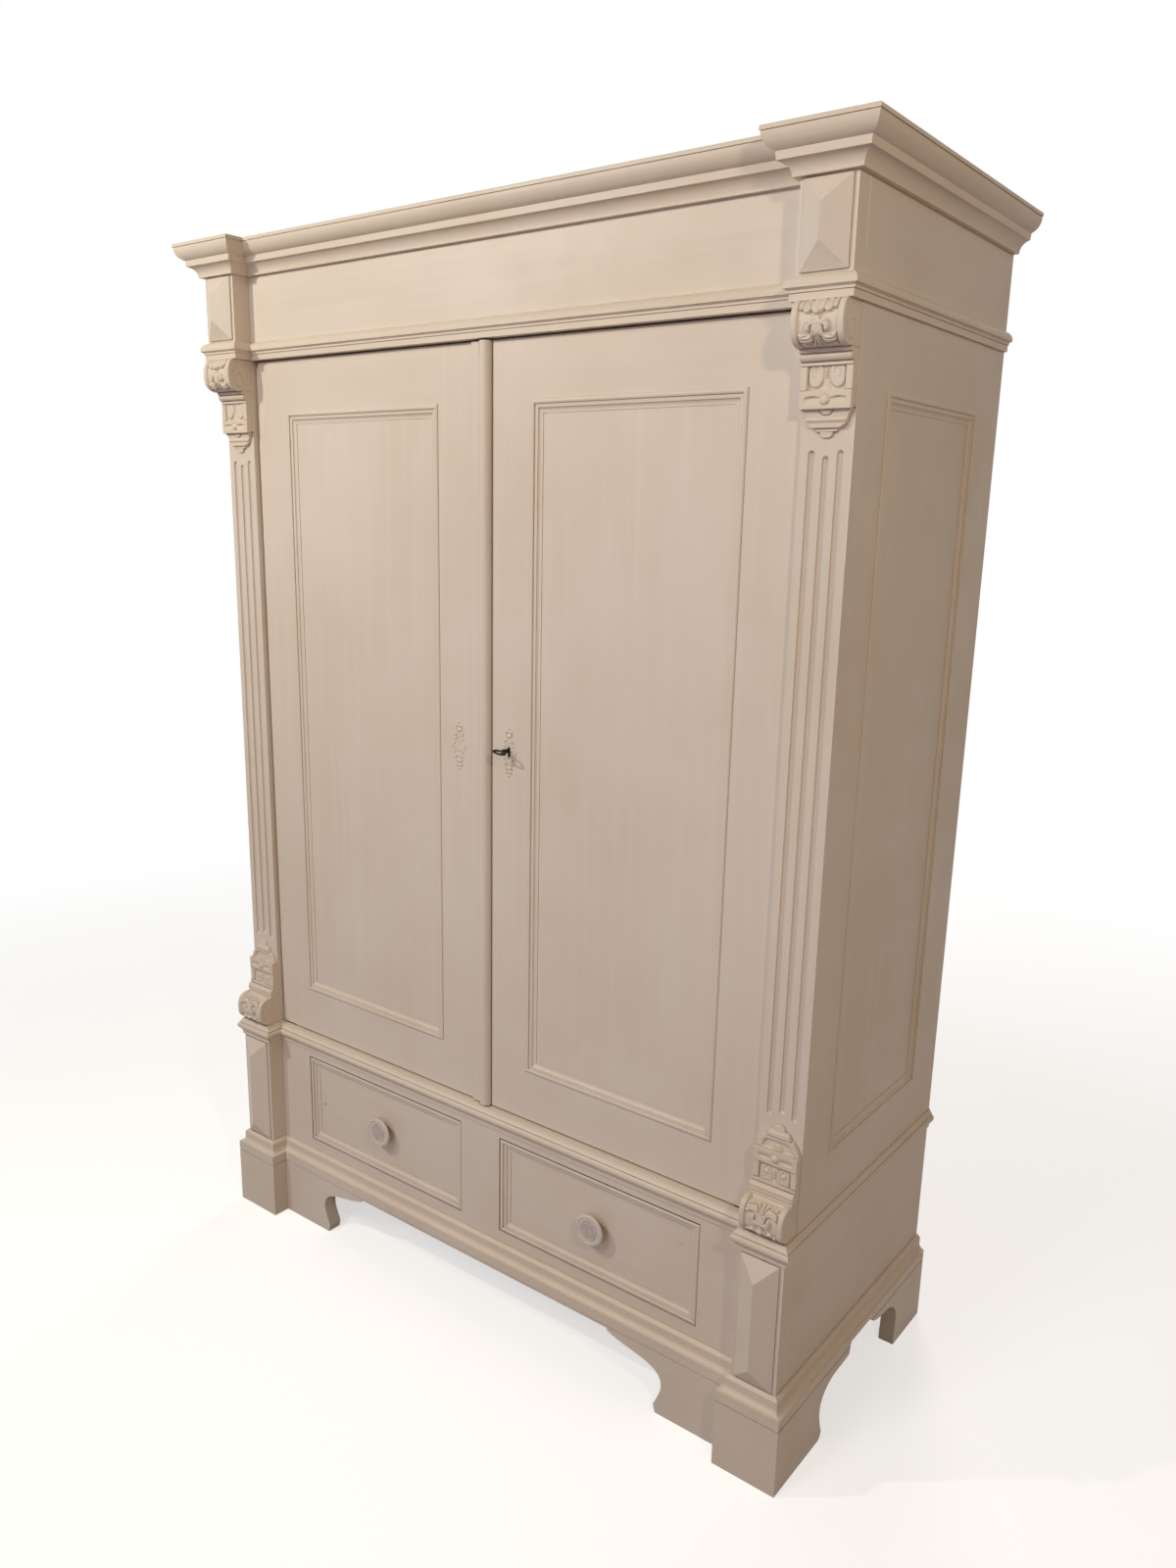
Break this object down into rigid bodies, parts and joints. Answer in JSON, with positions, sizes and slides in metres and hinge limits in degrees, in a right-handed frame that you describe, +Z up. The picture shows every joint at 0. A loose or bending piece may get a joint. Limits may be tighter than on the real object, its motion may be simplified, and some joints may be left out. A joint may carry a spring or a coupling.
{
  "type": "linen cupboard",
  "caption": "Painted linen cupboard with panelled doors between fluted pilasters and corbels, a drawer base, a stepped cornice and bracket feet.",
  "frame": {"origin": "on the floor, at the middle of the cupboard's bounding box", "axes": "+Z up, the front with its doors and drawers faces -Y, +X to the right as seen from the front"},
  "size_m": [1.4522, 0.626, 2.05],
  "materials": {
    "cream_paint": "brushed semi-gloss oil paint, worn at edges",
    "knob_paint": "turned wood, worn grey-white paint",
    "bare_pine": "waxed aged pine",
    "black_iron": "blackened, satin"
  },
  "bodies": {
    "carcass": {"architrave_moulding": "cream_paint", "back_boards": "bare_pine", "base_back_board": "bare_pine", "base_bottom_board": "bare_pine", "base_corner_blocks": "cream_paint", "base_front_frame": "cream_paint", "base_lozenges": "cream_paint", "base_side_boards": "cream_paint", "corbel_lower_left": "cream_paint", "corbel_lower_right": "cream_paint", "corbel_upper_left": "cream_paint", "corbel_upper_right": "cream_paint", "cornice_moulding": "cream_paint", "crown_back_rail": "bare_pine", "crown_corner_blocks": "cream_paint", "crown_front_board": "cream_paint", "crown_lozenges": "cream_paint", "crown_sides": "cream_paint", "deck_board": "cream_paint", "door_stops": "bare_pine", "drawer_guides": "bare_pine", "frame_pivots": "black_iron", "pilaster_left": "cream_paint", "pilaster_right": "cream_paint", "plinth_back_rail": "bare_pine", "plinth_corner_blocks": "cream_paint", "plinth_front_board": "cream_paint", "plinth_moulding": "cream_paint", "plinth_side_boards": "cream_paint", "shelf_bearers": "bare_pine", "shelves": "bare_pine", "side_frames": "cream_paint", "side_mouldings": "cream_paint", "side_panel_left": "cream_paint", "side_panel_right": "cream_paint", "top_board": "cream_paint", "waist_moulding": "cream_paint"},
    "door_left": {"door_left_escutcheon": "cream_paint", "door_left_frame": "cream_paint", "door_left_moulding": "cream_paint", "door_left_panel": "cream_paint", "door_left_pivots": "black_iron", "door_left_strip": "cream_paint", "strike_plate": "black_iron"},
    "door_right": {"door_right_escutcheon": "cream_paint", "door_right_frame": "cream_paint", "door_right_moulding": "cream_paint", "door_right_panel": "cream_paint", "door_right_pivots": "black_iron", "lock_case": "black_iron"},
    "lock_bolt": {"lock_bolt": "black_iron"},
    "key": {"key": "black_iron"},
    "drawer_left": {"drawer_left_box": "bare_pine", "drawer_left_front": "cream_paint", "drawer_left_knob": "knob_paint", "drawer_left_moulding": "cream_paint"},
    "drawer_right": {"drawer_right_box": "bare_pine", "drawer_right_front": "cream_paint", "drawer_right_knob": "knob_paint", "drawer_right_moulding": "cream_paint"}
  },
  "joints": [
    {"name": "left_door_hinge", "type": "hinge", "parent": "carcass", "child": "door_left", "pos_m": [-0.5985, -0.221, 0.455], "axis": [0, 0, -1], "range_deg": [0, 90]},
    {"name": "right_door_hinge", "type": "hinge", "parent": "carcass", "child": "door_right", "pos_m": [0.5985, -0.221, 0.455], "axis": [0, 0, 1], "range_deg": [0, 90]},
    {"name": "left_drawer_slide", "type": "slide", "parent": "carcass", "child": "drawer_left", "axis": [0, -1, 0], "range_m": [0, 0.36]},
    {"name": "right_drawer_slide", "type": "slide", "parent": "carcass", "child": "drawer_right", "axis": [0, -1, 0], "range_m": [0, 0.36]},
    {"name": "key_turn", "type": "hinge", "parent": "door_right", "child": "key", "pos_m": [0.0615, -0.225, 1.1555], "axis": [0, -1, 0], "range_deg": [0, 100]},
    {"name": "bolt_throw", "type": "slide", "parent": "door_right", "child": "lock_bolt", "axis": [-1, 0, 0], "range_m": [0, 0.014]}
  ],
  "couplings": [
    {"joint": "key_turn", "follows": "bolt_throw", "rad_per_m": 124.66}
  ]
}
